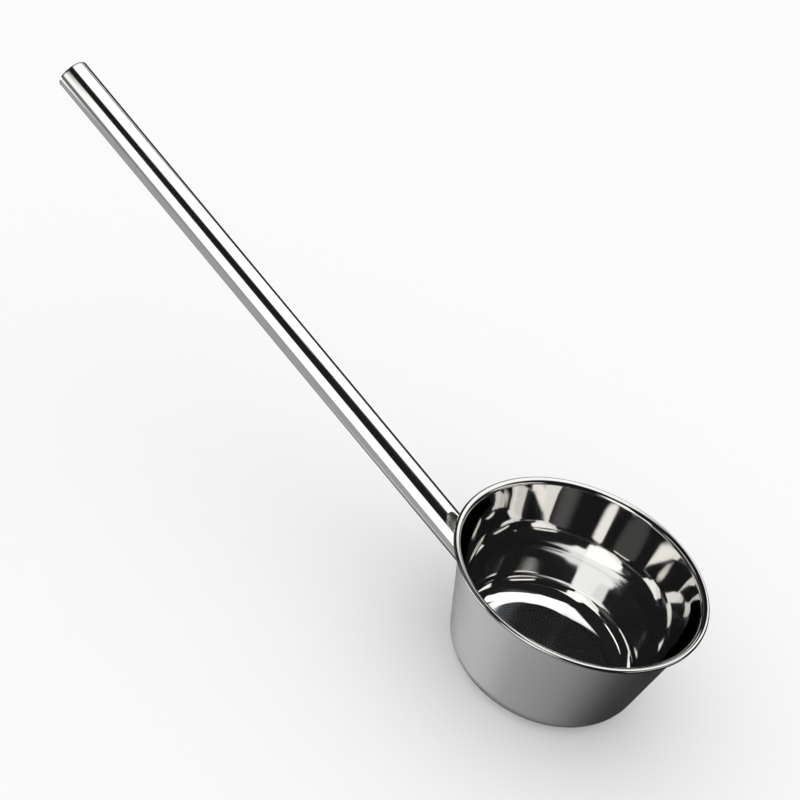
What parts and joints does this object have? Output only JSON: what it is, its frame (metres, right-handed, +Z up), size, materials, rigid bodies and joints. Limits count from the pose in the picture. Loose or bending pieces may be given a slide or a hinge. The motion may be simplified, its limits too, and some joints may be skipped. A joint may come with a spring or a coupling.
{
  "type": "water dipper",
  "caption": "Stainless steel water dipper: a deep round bowl with a rolled rim and a flat base, welded to a long straight tube handle that rises from its side and ends in a round cap.",
  "frame": {"origin": "centre of the flat base that the bowl stands on, at the face that meets the table", "axes": "+Z up along the bowl's axis, out of its mouth; the handle rises towards -X in the XZ plane, 25 degrees above the base plane"},
  "size_m": [0.5352, 0.169, 0.2328],
  "materials": {
    "bowl_steel": "satin outside, mirror polish inside and on the rolled rim",
    "handle_steel": "mirror polish",
    "weld_steel": "dressed weld, satin with fine ripples"
  },
  "bodies": {
    "root": {"bowl_shell": "bowl_steel", "handle_tube": "handle_steel", "handle_end_cap": "handle_steel", "weld_bead": "weld_steel"}
  },
  "joints": []
}
